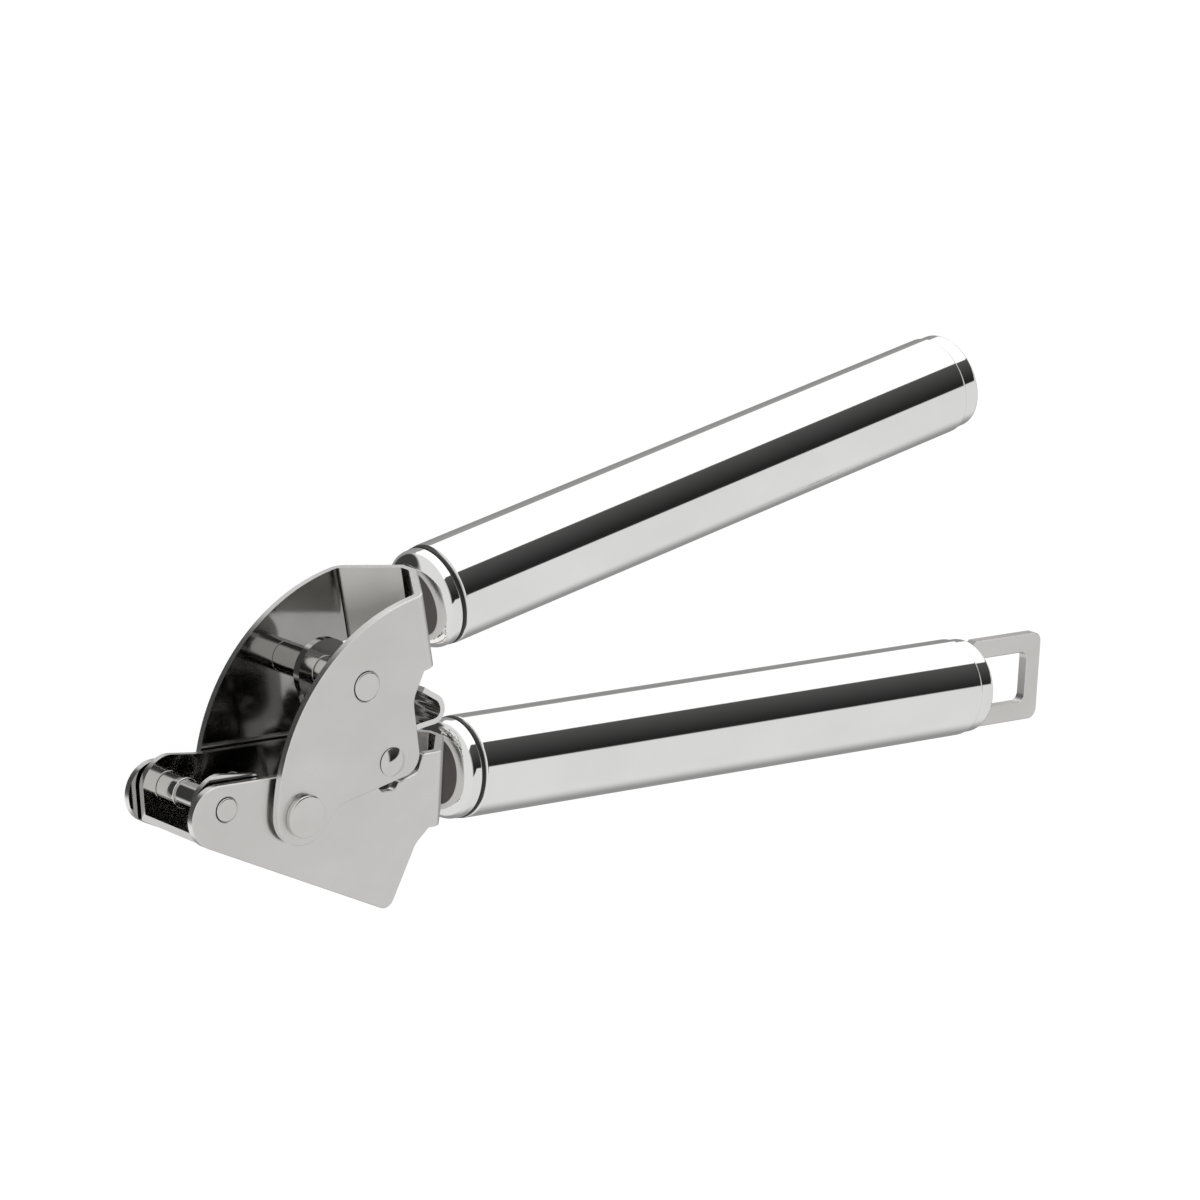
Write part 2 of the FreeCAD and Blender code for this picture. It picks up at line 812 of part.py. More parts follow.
def front_pin():
    """The pin at the front that the sieve basket swings on, with its two sleeves."""
    pin = cross_pin("front_pin", size.front_pin_diameter, size.front_pin_end,
                    lower_inside, lower_outside, size.front_pin_proud)
    place(pin, size.front_pin_x, size.front_pin_y)
    bore = size.front_pin_diameter / 2 + size.sleeve_clearance
    reach = basket_inside - size.ear_gap
    joint = size.sleeve_length - reach
    wide = collar("front_sleeve", bore, size.sleeve_diameter / 2, -reach, joint)
    place(wide, size.front_pin_x, size.front_pin_y)
    narrow = collar("front_collar", bore, size.collar_diameter / 2, joint, reach)
    place(narrow, size.front_pin_x, size.front_pin_y)


# Plunger --------------------------------------------------------------------------------

def between(start, end, share):
    """The point that lies a share of the way from start to end."""
    return start[0] + (end[0] - start[0]) * share, start[1] + (end[1] - start[1]) * share


def plunger():
    """Stem plate and press foot, drawn from the press pin in the lower frame's directions."""
    foot = new_body("press_foot")
    sketch = new_sketch(foot, "XY_Plane")
    strip = ribbon([
        (size.foot_bottom_x, size.foot_bottom_y),
        (size.foot_top_x, size.foot_top_y, size.foot_bend_round),
        (size.tail_bend_x, size.tail_bend_y, size.foot_bend_round),
        (size.curl_low_x, size.curl_low_y, size.curl_round),
        (size.curl_rear_x, size.curl_rear_y, size.curl_round),
        (size.curl_top_x, size.curl_top_y),
    ], size.foot_sheet)
    outline(sketch, strip)
    pad(foot, sketch, (basket_inside - size.foot_clearance) * 2, symmetric=True)
    place(foot, press_pin_rest_x, press_pin_rest_y)

    # The stem's lower end lies along the foot's front face, on both sides of its first bend.
    stem = new_body("plunger_stem")
    sketch = new_sketch(stem, "XY_Plane")
    tail, bend, bottom = strip[-3:]
    head = size.stem_head_round
    outline(sketch, [
        (-head, 0),
        (size.stem_front_x, size.stem_front_y, size.stem_front_round),
        between(bend, bottom, size.stem_weld_low),
        (bend[0], bend[1]),
        between(bend, tail, size.stem_weld_high),
        (head, 0),
    ])
    pad(stem, sketch, size.stem_thickness, symmetric=True)
    disc = new_sketch(stem, "XY_Plane")
    circle(disc, 0, 0, head * 2)
    pad(stem, disc, size.stem_thickness, symmetric=True)
    bore = new_sketch(stem, "XY_Plane")
    circle(bore, 0, 0, size.press_pin_diameter + size.spacer_clearance * 2)
    pocket(stem, bore, size.stem_thickness * 2)
    place(stem, press_pin_rest_x, press_pin_rest_y)


# Sieve basket ---------------------------------------------------------------------------

def sieve_basket():
    """The swing-out basket: floor, side walls with front ears, and a perforated rear wall."""
    body = new_body("sieve_basket")
    rear = size.rear_wall_inside + size.basket_wall
    floor_top = size.floor_under + size.floor_thickness
    side = new_sketch(body, "XY_Plane")
    round_off = size.basket_round
    outline(side, [
        (size.floor_front, size.floor_under),
        (size.ear_front, 0, size.ear_front_round),
        (size.ear_brow_x, size.ear_brow_y, size.ear_brow_round),
        (size.ear_tip_x, size.ear_tip_y, round_off),
        (size.ear_back_x, size.ear_back_y, round_off),
        (size.ear_back_x + round_off * 2, size.side_wall_top, round_off),
        (size.rear_wall_inside - round_off * 3, size.side_wall_top, round_off),
        (size.rear_wall_inside - round_off, size.rear_wall_top, round_off / 2),
        (rear, size.rear_wall_top),
        (rear, size.floor_under, round_off * 2),
    ])
    pad(body, side, basket_outside * 2, symmetric=True)
    hollow = new_sketch(body, "XY_Plane")
    top = size.ear_tip_y + size.basket_wall
    front = size.ear_front - size.basket_wall
    outline(hollow, [
        (front, floor_top),
        (size.rear_wall_inside, floor_top, round_off),
        (size.rear_wall_inside, top),
        (front, top),
    ])
    pocket(body, hollow, basket_inside * 2)
    bore = new_sketch(body, "XY_Plane")
    circle(bore, 0, 0, size.front_pin_diameter + size.sleeve_clearance * 2)
    pocket(body, bore, basket_outside * 4)
    perforate_wall(body, rear)
    perforate_floor(body)
    place(body, size.front_pin_x, size.front_pin_y, -size.channel_slope)


def across(index):
    """Place of one hole across the basket, counted from its middle."""
    return size.sieve_pitch * (index - (HOLES_ACROSS - 1) / 2)


def perforate_wall(body, rear):
    """Rows of holes through the rear wall, parallel to the floor."""
    sketch = new_sketch(body, "YZ_Plane", rear)
    floor_top = size.floor_under + size.floor_thickness
    for row in range(WALL_ROWS):
        y = floor_top + size.sieve_margin + size.sieve_pitch * row
        for index in range(HOLES_ACROSS):
            circle(sketch, y, across(index), size.sieve_hole)
    pocket(body, sketch, size.basket_wall * 4)


def perforate_floor(body):
    """Rows of holes through the rear part of the floor."""
    sketch = new_sketch(body, "XZ_Plane", -size.floor_under)
    for row in range(FLOOR_ROWS):
        x = size.rear_wall_inside - size.sieve_margin - size.sieve_pitch * row
        for index in range(HOLES_ACROSS):
            circle(sketch, x, across(index), size.sieve_hole)
    pocket(body, sketch, size.floor_thickness * 3)


# Assembly -------------------------------------------------------------------------------

def check_and_write():
    """Write each sub-part once every object is sound."""
    document.recompute()
    for item in document.Objects:
        if "Invalid" in item.State or "Error" in item.State:
            raise ValueError(f"{item.Label} did not compute: {item.State}")
    for piece in pieces:
        if piece.Shape.isNull() or not piece.Shape.isValid() or not piece.Shape.Solids:
            raise ValueError(f"{piece.Label} has no sound shape")
    os.makedirs("parts", exist_ok=True)
    for piece in pieces:
        piece.Shape.exportStep(f"parts/{piece.Label}.step")
        print(f"{piece.Label}: {len(piece.Shape.Solids)} solid, {piece.Shape.Volume:.0f} mm3")


lower_frame()
handle("lower", 0, place, slotted=True)
hanging_loop()
for side_name in SIDES:
    pivot(side_name)
front_pin()
sieve_basket()
upper_frame()
handle("upper", size.handle_spacing, place_upper, slotted=False)
for side_name in SIDES:
    stop_stud(side_name)
press_pin()
plunger()
check_and_write()
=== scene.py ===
# %% [markdown]
# # Garlic press with two round tube handles
#
# A small squeezing tool in stainless steel. Two bent sheet frames turn on a pivot, the upper
# one drives a hinged press foot along a sieve basket, and each frame ends in a polished tube.
# The frame that is loaded here holds every piece at its real size and place, in metres.
# Turned pieces would show the flat facets of a CAD mesh in their shine, so they are made
# again below as smooth surfaces of the same size. Sheet pieces are copies of their CAD mesh,
# merged and shaded smooth over their bends.

# %% Load the frame
import math

import bmesh
import bpy
import numpy as np
from mathutils import Matrix, Vector


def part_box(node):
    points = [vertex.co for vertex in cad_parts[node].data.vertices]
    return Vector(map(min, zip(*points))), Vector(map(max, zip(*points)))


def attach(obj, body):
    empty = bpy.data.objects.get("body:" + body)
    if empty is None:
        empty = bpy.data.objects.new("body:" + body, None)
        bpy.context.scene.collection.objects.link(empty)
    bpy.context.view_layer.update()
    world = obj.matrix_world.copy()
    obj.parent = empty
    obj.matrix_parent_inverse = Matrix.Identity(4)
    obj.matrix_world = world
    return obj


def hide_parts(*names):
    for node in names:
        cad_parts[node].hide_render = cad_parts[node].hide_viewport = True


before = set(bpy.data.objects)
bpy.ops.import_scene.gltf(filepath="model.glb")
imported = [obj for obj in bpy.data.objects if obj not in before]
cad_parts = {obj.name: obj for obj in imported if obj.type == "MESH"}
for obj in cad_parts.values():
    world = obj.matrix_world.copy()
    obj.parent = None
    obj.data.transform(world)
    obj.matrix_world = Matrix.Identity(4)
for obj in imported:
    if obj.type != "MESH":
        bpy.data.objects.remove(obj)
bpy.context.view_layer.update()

# %% [markdown]
# ## Where things are
#
# Every pin is upright, so the whole press is drawn on a flat plan and given heights. Both
# tubes have the same place along their own handle, the lower one on the x axis and the upper
# one beside it, turned about the pivot. So the two tubes' centres give the distance between
# the handles' axes, by Pythagoras, and the angle that the upper handle is opened by. Both
# are rounded to a hundredth, which clears away the CAD mesh's own unevenness.

# %% Places read from the frame
MM = 0.001


def size_of(node):
    """Lowest and highest corner of a CAD node in millimetres."""
    low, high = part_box(node)
    return np.array(low) / MM, np.array(high) / MM


def middle_of(node):
    """Centre of a CAD node's box in millimetres."""
    low, high = size_of(node)
    return (low + high) / 2


TUBE_MIDDLE, _, MIDDLE_Z = middle_of("lower_tube")
upper_x, upper_y, _ = middle_of("upper_tube")
HANDLE_SPACING = round(math.sqrt(upper_x ** 2 + upper_y ** 2 - TUBE_MIDDLE ** 2), 2)
opened = math.atan2(upper_y, upper_x) - math.atan2(HANDLE_SPACING, TUBE_MIDDLE)
OPENING = math.radians(round(math.degrees(opened), 2))


def in_lower(points):
    """Points of the lower handle's drawing, in millimetres, lifted to the middle plane."""
    return (points + np.array([0.0, 0.0, MIDDLE_Z])) * MM


def in_upper(points):
    """The same for the upper handle: turned about the pivot by the opening angle first."""
    cosine, sine = math.cos(OPENING), math.sin(OPENING)
    turn = np.array([[cosine, -sine, 0.0], [sine, cosine, 0.0], [0.0, 0.0, 1.0]])
    return in_lower(points @ turn.T)


print(f"middle plane {MIDDLE_Z:.2f} mm above the table, handle axes {HANDLE_SPACING} mm apart")
print(f"upper handle opened by {math.degrees(OPENING):.2f} degrees")

# %% [markdown]
# ## Camera
#
# The view is a product view from the front end of the press, looking down on it at about
# 48 degrees with a long lens, so that the two handles run away from the eye with little
# change in size. The camera is built from its right and its up direction, which are tilted
# because the press lies at an angle to the eye.

# %% Camera
CAMERA_PLACE = np.array([-573.12, 267.15, 769.40 + MIDDLE_Z])
CAMERA_RIGHT = np.array([0.77100, 0.05182, 0.63472])
CAMERA_UP = np.array([0.10830, 0.97150, -0.21087])
LENS = 167.65
SENSOR = 36.0

camera = bpy.data.objects.new("camera", bpy.data.cameras.new("camera"))
camera.data.lens = LENS
camera.data.sensor_width = SENSOR
camera.data.clip_start = 0.01
camera.data.clip_end = 20
towards_eye = np.cross(CAMERA_RIGHT, CAMERA_UP)
columns = np.array([CAMERA_RIGHT, np.cross(towards_eye, CAMERA_RIGHT), towards_eye]).T
camera.matrix_world = Matrix.Translation(Vector(CAMERA_PLACE * MM)) @ Matrix(columns.tolist()).to_4x4()
bpy.context.scene.collection.objects.link(camera)
bpy.context.scene.camera = camera
print("camera", round(float(np.linalg.norm(CAMERA_PLACE)) / 1000, 3), "m from the pivot")

# %% [markdown]
# ## Colours and nodes
#
# Finishes are written as sRGB hex values, as a designer would pick them, and one function
# turns them to the linear values that Blender mixes light with. One helper adds a shader
# node with its settings and its links, so that each finish below reads as a short recipe.

# %% Helpers for finishes
def linear(hex_value):
    """sRGB hex to linear RGBA: the low end is a straight line, the rest a 2.4 power."""
    channels = np.array([int(hex_value[i:i + 2], 16) / 255 for i in (1, 3, 5)])
    straight = channels / 12.92
    curved = ((channels + 0.055) / 1.055) ** 2.4
    return tuple(np.where(channels <= 0.04045, straight, curved)) + (1.0,)


def set_inputs(tree, node, **inputs):
    """Set or link a node's inputs, each given by its name or, as in _6, by its number."""
    for name, value in inputs.items():
        key = int(name[1:]) if name[0] == "_" else name.replace("_", " ")
        socket = node.inputs[key]
        if isinstance(value, bpy.types.NodeSocket):
            tree.links.new(value, socket)
        else:
            socket.default_value = value


def add_node(tree, kind, settings=None, **inputs):
    """Add one node; settings are its own properties, inputs are values or sockets."""
    node = tree.nodes.new(kind)
    for name, value in (settings or {}).items():
        setattr(node, name, value)
    set_inputs(tree, node, **inputs)
    return node


def new_finish(name):
    """An empty material with a Principled shader joined to its output."""
    material = bpy.data.materials.new(name)
    material.use_nodes = True
    tree = material.node_tree
    tree.nodes.clear()
    shader = add_node(tree, "ShaderNodeBsdfPrincipled")
    add_node(tree, "ShaderNodeOutputMaterial", Surface=shader.outputs[0])
    return material, tree, shader


print("linear value of mid grey:", round(linear("#808080")[0], 3))

# %% [markdown]
# ## The room
#
# Polished steel has no look of its own: it shows the room. The room here is a white cove
# with one very large softbox low on the far side, a dark gap overhead, and a pale fill on
# the near side that fades towards the floor. Below the table's edge it is mid grey. The
# front wall, behind the eye, is light with one dark corner low down, which is what the
# press's cut edges and its rounded noses mirror. The edges between those parts draw the
# crisp white and black bands along the tubes.

# %% Edges and lights of the room
# An edge is a plane through the middle, given by its normal, and soft is half its width.
SOFTBOX_EDGE = (0.354, -0.642, 0.680)
SOFTBOX_SOFT = 0.012
FILL_EDGE = (0.321, -0.938, -0.130)
FILL_SOFT = 0.02
TABLE_EDGE = (0.263, 0.709, 0.654)
TABLE_SOFT = 0.03
FRONT_EDGE = (1.0, 0.0, 0.0)
FRONT_SOFT = 0.12
# The dark corner lies round one direction: cosines of the angles where it starts and is full.
CORNER = (-0.450, 0.200, -0.870)
CORNER_RIM = 0.80
CORNER_HEART = 0.90
# The gap darkens from the softbox's edge to this depth behind it.
GAP_DEPTH = 0.62
# The near side fades between these heights, as shares of straight down and straight up.
FADE_LOW = -0.45
FADE_HIGH = 0.12
SOFTBOX_LIGHT = 1.25
GAP_NEAR_SOFTBOX = 0.090
GAP_NEAR_FILL = 0.020
FILL_LIGHT = 0.78
BELOW_TABLE = 0.34
BELOW_NEAR = 0.30
FRONT_LIGHT = 0.80
FRONT_DARK = 0.05
print("softbox is", round(SOFTBOX_LIGHT / GAP_NEAR_FILL), "times as bright as the gap's far end")

# %% [markdown]
# ## Studio sky
#
# Lamps and cards could make that room too, but every edge would need its own card. A sky
# that depends only on direction says it in four planes and one dark corner, and stands
# still when the eye moves. Each share below runs from 0 to 1 over one edge, and a Map Range node
# then goes from the light on one side of the edge to the light on the other. What the eye
# itself sees of the sky is plain white.

# %% Studio sky
world = bpy.data.worlds.new("studio")
bpy.context.scene.world = world
world.use_nodes = True
sky = world.node_tree
sky.nodes.clear()
direction = add_node(sky, "ShaderNodeTexCoord").outputs["Generated"]


def share_past(vector, start, end):
    """Dot product of direction and vector, as a smooth step from 0 at start to 1 at end."""
    dot = add_node(sky, "ShaderNodeVectorMath", {"operation": "DOT_PRODUCT"}, _0=direction, _1=vector)
    return add_node(sky, "ShaderNodeMapRange", {"interpolation_type": "SMOOTHSTEP"},
                    Value=dot.outputs["Value"], From_Min=start, From_Max=end).outputs[0]


depth = add_node(sky, "ShaderNodeVectorMath", {"operation": "DOT_PRODUCT"}, _0=direction, _1=SOFTBOX_EDGE)
gap = add_node(sky, "ShaderNodeMapRange", Value=depth.outputs["Value"], From_Min=0.0,
               From_Max=GAP_DEPTH, To_Min=GAP_NEAR_SOFTBOX, To_Max=GAP_NEAR_FILL)
far_side = add_node(sky, "ShaderNodeMapRange", To_Min=SOFTBOX_LIGHT, To_Max=gap.outputs[0],
                    Value=share_past(SOFTBOX_EDGE, -SOFTBOX_SOFT, SOFTBOX_SOFT))
above_table = add_node(sky, "ShaderNodeMapRange", To_Min=BELOW_TABLE, To_Max=far_side.outputs[0],
                       Value=share_past(TABLE_EDGE, -TABLE_SOFT, TABLE_SOFT))
near_side = add_node(sky, "ShaderNodeMapRange", To_Min=BELOW_NEAR, To_Max=FILL_LIGHT,
                     Value=share_past((0.0, 0.0, 1.0), FADE_LOW, FADE_HIGH))
sides = add_node(sky, "ShaderNodeMapRange", To_Min=above_table.outputs[0], To_Max=near_side.outputs[0],
                 Value=share_past(FILL_EDGE, -FILL_SOFT, FILL_SOFT))
front = add_node(sky, "ShaderNodeMapRange", To_Min=FRONT_LIGHT, To_Max=FRONT_DARK,
                 Value=share_past(CORNER, CORNER_RIM, CORNER_HEART))
room = add_node(sky, "ShaderNodeMapRange", To_Min=front.outputs[0], To_Max=sides.outputs[0],
                Value=share_past(FRONT_EDGE, -FRONT_SOFT, FRONT_SOFT))
seen = add_node(sky, "ShaderNodeLightPath").outputs["Is Camera Ray"]
backdrop = add_node(sky, "ShaderNodeMapRange", Value=seen, To_Min=room.outputs[0], To_Max=1.0)
background = add_node(sky, "ShaderNodeBackground", Strength=backdrop.outputs[0], Color=linear("#FFFFFF"))
add_node(sky, "ShaderNodeOutputWorld", Surface=background.outputs[0])
bpy.context.scene.view_settings.view_transform = "Standard"
print("sky nodes:", len(sky.nodes))

# %% [markdown]
# ## Table
#
# The press lies on a sheet of white opal acrylic lit from below, as for catalogue work.
# It is a plain square that the polished parts don't mirror, so their undersides show the
# calm grey of the room instead of a blinding sheet. It lies a hair under the press.

# %% Table
TABLE_HALF = 3.0
TABLE_DROP = 0.0002
square = np.array([[-1, -1, 0], [1, -1, 0], [1, 1, 0], [-1, 1, 0]], dtype=float) * TABLE_HALF
table_mesh = bpy.data.meshes.new("table")
table_mesh.from_pydata(square.tolist(), [], [(0, 1, 2, 3)])
table = bpy.data.objects.new("table", table_mesh)
bpy.context.scene.collection.objects.link(table)
table.location.z = -TABLE_DROP
table.visible_glossy = False
acrylic, tree, shader = new_finish("opal_acrylic")
set_inputs(tree, shader, Base_Color=linear("#6E6E6E"), Roughness=0.9,
           Emission_Color=linear("#FFFFFF"), Emission_Strength=0.93)
table.data.materials.append(acrylic)
print("table", 2 * TABLE_HALF, "m wide")

# %% [markdown]
# ## Satin stainless sheet
#
# The frames and the loop are 18/8 stainless sheet, ground with a fine belt and lightly
# blasted. The eye sees a pale warm grey with no clear mirror image, a very fine grain and
# slightly uneven sheen where hands and tooling have touched it. A metal with a mid
# roughness, a stretched noise for the grain and a large faint noise for the handling
# gives that; the noise also lifts the surface a little through a bump.

# %% Finish: satin stainless sheet
# A noise is seldom outside these two values, so they are taken as its whole spread.
NOISE_LOW = 0.3
NOISE_HIGH = 0.7
HANDLED_LENGTH = 22.0
HANDLED_WIDTH = 14.0


def grain(tree, length_mm, width_mm, detail=2.0, along="X"):
    """Noise stretched along one axis: cells length_mm long and width_mm across."""
    where = add_node(tree, "ShaderNodeTexCoord").outputs["Object"]
    long_scale, wide_scale = 1 / (length_mm * MM), 1 / (width_mm * MM)
    scale = [long_scale if axis == along else wide_scale for axis in "XYZ"]
    placed = add_node(tree, "ShaderNodeMapping", Vector=where, Scale=scale)
    noise = add_node(tree, "ShaderNodeTexNoise", Vector=placed.outputs[0], Scale=1.0, Detail=detail)
    return noise.outputs["Fac"]


def steel(name, light, dark, smooth, rough, grain_size, bump_mm, along="X"):
    """Stainless steel: two close colours and two roughness values, mixed by a grain."""
    material, tree, shader = new_finish(name)
    fine = grain(tree, *grain_size, along=along)
    broad = grain(tree, HANDLED_LENGTH, HANDLED_WIDTH, detail=3.0)
    tint = add_node(tree, "ShaderNodeMapRange", Value=broad, From_Min=NOISE_LOW, From_Max=NOISE_HIGH)
    colour = add_node(tree, "ShaderNodeMix", {"data_type": "RGBA"},
                      _0=tint.outputs[0], _6=linear(light), _7=linear(dark))
    half = add_node(tree, "ShaderNodeMath", {"operation": "MULTIPLY"}, _0=broad, _1=0.5)
    mean = add_node(tree, "ShaderNodeMath", {"operation": "MULTIPLY_ADD"},
                    _0=fine, _1=0.5, _2=half.outputs[0])
    sheen = add_node(tree, "ShaderNodeMapRange", Value=mean.outputs[0], From_Min=NOISE_LOW,
                     From_Max=NOISE_HIGH, To_Min=smooth, To_Max=rough)
    bump = add_node(tree, "ShaderNodeBump", Strength=1.0, Distance=bump_mm * MM, Height=fine)
    set_inputs(tree, shader, Base_Color=colour.outputs[2], Metallic=1.0,
               Roughness=sheen.outputs[0], Normal=bump.outputs[0])
    return material


satin_sheet = steel("satin_ground_stainless", "#DFDDDB", "#D7D5D2", 0.27, 0.35, (1.6, 0.09), 0.0006)
print(satin_sheet.name)

# %% [markdown]
# ## Polished stainless
#
# The tubes are buffed to a mirror with a rotating mop, so their faint haze lies in rings
# round the tube. The pins and spacers are turned and tumbled, a little duller. The press
# foot and the sieve are bright rolled sheet. The frames' insides are a smoother steel in a
# darker colour, which is painted shade between the plates. Their cut edges are a near-white
# steel, a painted highlight, and the dish pressed into each ferrule is painted dark, as
# painted shade.

# %% Finishes: polished stainless
mirror_tube = steel("mop_polished_stainless", "#F2F2F1", "#ECECEA", 0.035, 0.06, (0.35, 9.0), 0.00004)
turned_rod = steel("turned_stainless_rod", "#DEDDDB", "#D0CFCC", 0.07, 0.12, (0.12, 2.0), 0.0002, along="Z")
bright_sheet = steel("bright_rolled_stainless", "#E6E5E3", "#DAD9D7", 0.07, 0.13, (3.0, 0.3), 0.0002)
# Painted shade: the frames' insides get a darker steel colour for the shade between their plates; the
# smoother sheen is their own.
inside_shade_sheet = steel("smooth_stainless_painted_inside_shade", "#A9A8A6", "#999896", 0.07, 0.13, (3.0, 0.3), 0.0002)
# Painted highlight: cut edges get a near-white steel colour for the bright lines that light draws along
# them.
cut_edge_highlight = steel("stainless_edge_painted_highlight", "#FAF9F7", "#F0EFED", 0.20, 0.28, (0.8, 0.3), 0.0004)
# Painted shade: the dish in each ferrule's face gets a darker steel colour for the dark it shows there.
dish_shade_steel = steel("stainless_dish_painted_shade", "#6B6766", "#5A5655", 0.10, 0.18, (0.4, 0.4), 0.0001)
print([item.name for item in (mirror_tube, turned_rod, bright_sheet, inside_shade_sheet, cut_edge_highlight, dish_shade_steel)])

# %% [markdown]
# ## Black ring, painted shade
#
# The thin ring between ferrule and tube is painted black, as painted shade for the gap there.
# Like moulded rubber, it has a soft sheen and a slight mottling, as of a carbon filler.

# %% Finish: black ring, painted gap shade
# Painted shade: this near-black finish stands for the shaded gap between ferrule and tube.
gap_shade_ring, tree, shader = new_finish("black_ring_painted_gap_shade")
mottle = grain(tree, 0.5, 0.5)
black = add_node(tree, "ShaderNodeMix", {"data_type": "RGBA"},
                 _0=mottle, _6=linear("#0B0B0C"), _7=linear("#1A1A1B"))
dull = add_node(tree, "ShaderNodeMapRange", Value=mottle, From_Min=NOISE_LOW, From_Max=NOISE_HIGH,
                To_Min=0.38, To_Max=0.55)
set_inputs(tree, shader, Base_Color=black.outputs[2], Roughness=dull.outputs[0])
print(gap_shade_ring.name)

# %% [markdown]
# ## Profiles
#
# A turned piece is a profile carried round an axis, and its profile is a line with rounded
# corners. Blender's Bevel could round the finished piece, but a fillet in the profile is
# exact and as fine as a mirror finish needs, so that no facet shows.

# %% Profiles with rounded corners
def rounded(corners, step=9.0):
    """A polyline with filleted corners: each corner is (x, y) or (x, y, radius).

    An arc touches both legs at radius / tan(half the angle) from the corner, and is cut
    into pieces of at most step degrees.
    """
    path = [np.array(corner[:2], dtype=float) for corner in corners]
    pieces = [path[0][None]]
    for index in range(1, len(path) - 1):
        radius = corners[index][2] if len(corners[index]) > 2 else 0.0
        here = path[index]
        if radius == 0.0:
            pieces.append(here[None])
            continue
        back = (path[index - 1] - here) / np.linalg.norm(path[index - 1] - here)
        ahead = (path[index + 1] - here) / np.linalg.norm(path[index + 1] - here)
        half = math.acos(float(np.clip(back @ ahead, -1, 1))) / 2
        middle = (back + ahead) / np.linalg.norm(back + ahead)
        centre = here + middle * radius / math.sin(half)
        enter = here + back * radius / math.tan(half) - centre
        leave = here + ahead * radius / math.tan(half) - centre
        sweep = math.pi - 2 * half
        count = max(3, int(math.degrees(sweep) / step) + 2)
        share = np.linspace(0, 1, count)[:, None]
        arc = (np.sin((1 - share) * sweep) * enter + np.sin(share * sweep) * leave) / math.sin(sweep)
        pieces.append(centre + arc)
    pieces.append(path[-1][None])
    return np.concatenate(pieces)


def doubled(path, gap=0.02):
    """Add a point just before and after each sharp corner, so smooth shading stays crisp."""
    length = np.linalg.norm(np.diff(path, axis=0), axis=1)
    path = np.concatenate([path[:1], path[1:][length > 1e-6]])
    steps = np.diff(path, axis=0)
    length = np.linalg.norm(steps, axis=1)
    trim = np.minimum(gap, length * 0.25)[:, None]
    unit = steps / length[:, None]
    near_start = path[:-1] + unit * trim
    near_end = path[1:] - unit * trim
    inner = np.stack([path[:-1], near_start, near_end], axis=1).reshape(-1, 2)
    return np.concatenate([inner, path[-1:]])


print("points on a profile with one fillet:", len(rounded([(0, 0), (5, 0, 1), (5, 5)])))

# %% [markdown]
# ## Surfaces from grids
#
# Carrying a profile round an axis gives a grid of points, one row for each point of the
# profile and one column for each angle. Each cell of the grid is one face. The last column
# joins the first, and the points that fall together on the axis are merged, so the seam
# and the poles are closed.

# %% Surfaces from grids
TURNS = 192


def turned(profile, axis):
    """Carry a profile round an axis: (along, radius) round X, or (radius, along) round Z.

    A point at angle a is (along, radius cos a, radius sin a) for X, and
    (radius cos a, radius sin a, along) for Z.
    """
    angle = np.linspace(0, 2 * math.pi, TURNS, endpoint=False)[None]
    if axis == "X":
        along, radius = profile[:, :1], profile[:, 1:]
        return np.stack([along + 0 * angle, radius * np.cos(angle), radius * np.sin(angle)], axis=-1)
    radius, along = profile[:, :1], profile[:, 1:]
    return np.stack([radius * np.cos(angle), radius * np.sin(angle), along + 0 * angle], axis=-1)


def grid_mesh(name, points):
    """Mesh of a grid of points in metres, merged on the axis, facing outwards and smooth."""
    rows, columns = points.shape[:2]
    number = np.arange(rows * columns).reshape(rows, columns)
    number = np.concatenate([number, number[:, :1]], axis=1)
    corners = [number[:-1, :-1], number[1:, :-1], number[1:, 1:], number[:-1, 1:]]
    faces = np.stack(corners, axis=-1).reshape(-1, 4)
    mesh = bpy.data.meshes.new(name)
    mesh.from_pydata(points.reshape(-1, 3).tolist(), [], faces.tolist())
    mesh.validate()
    work = bmesh.new()
    work.from_mesh(mesh)
    bmesh.ops.remove_doubles(work, verts=work.verts, dist=1e-8)
    bmesh.ops.recalc_face_normals(work, faces=work.faces)
    work.to_mesh(mesh)
    work.free()
    mesh.shade_smooth()
    return mesh


def place(name, mesh, body, node):
    """Put a finished mesh into the scene: it rides on its body and replaces its CAD node."""
    piece = bpy.data.objects.new(name, mesh)
    bpy.context.scene.collection.objects.link(piece)
    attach(piece, body)
    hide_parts(node)
    print(f"{name}: {len(mesh.polygons)} faces")
    return piece


print("a turned piece has", TURNS, "faces round")

# %% [markdown]
# ## Handle profiles
#
# Each handle is a stainless tube, turned over a little at both lips, with a pressed ferrule
# in front and a flanged cap behind, and a ring between ferrule and tube that is painted black
# as the shade of the gap there.
# Lengths and outer radii come from the frame; rounds and what hides inside are named here.
# Each profile starts and ends inside its neighbour, so no open end is seen.

# %% Sizes of a handle
tube_low, tube_high = size_of("lower_tube")
TUBE_FRONT, TUBE_REAR = tube_low[0], tube_high[0]
TUBE_RADIUS = (tube_high[2] - tube_low[2]) / 2
FERRULE_FRONT = size_of("lower_ferrule")[0][0]
BAND_RADIUS = size_of("lower_ferrule")[1][2] - MIDDLE_Z
RING_FRONT = size_of("lower_seal_ring")[0][0]
RING_RADIUS = size_of("lower_seal_ring")[1][2] - MIDDLE_Z
CAP_REAR = size_of("lower_end_cap")[1][0]
CAP_RADIUS = size_of("lower_end_cap")[1][2] - MIDDLE_Z
TUBE_BORE = TUBE_RADIUS - 0.8
LIP_ROUND = 0.4
BORE_ROUND = 0.15
DISH_FLOOR = FERRULE_FRONT + 0.5
DISH_RADIUS = 6.2
DISH_RIM = 6.65
SHOULDER_LENGTH = 2.5
SPIGOT_RADIUS = BAND_RADIUS - 0.7
RING_BORE = RING_RADIUS - 0.9
CAP_SPIGOT = CAP_RADIUS - 0.7
# A hair between two pieces that touch, so that their faces don't flicker into each other.
HAIR = 0.02


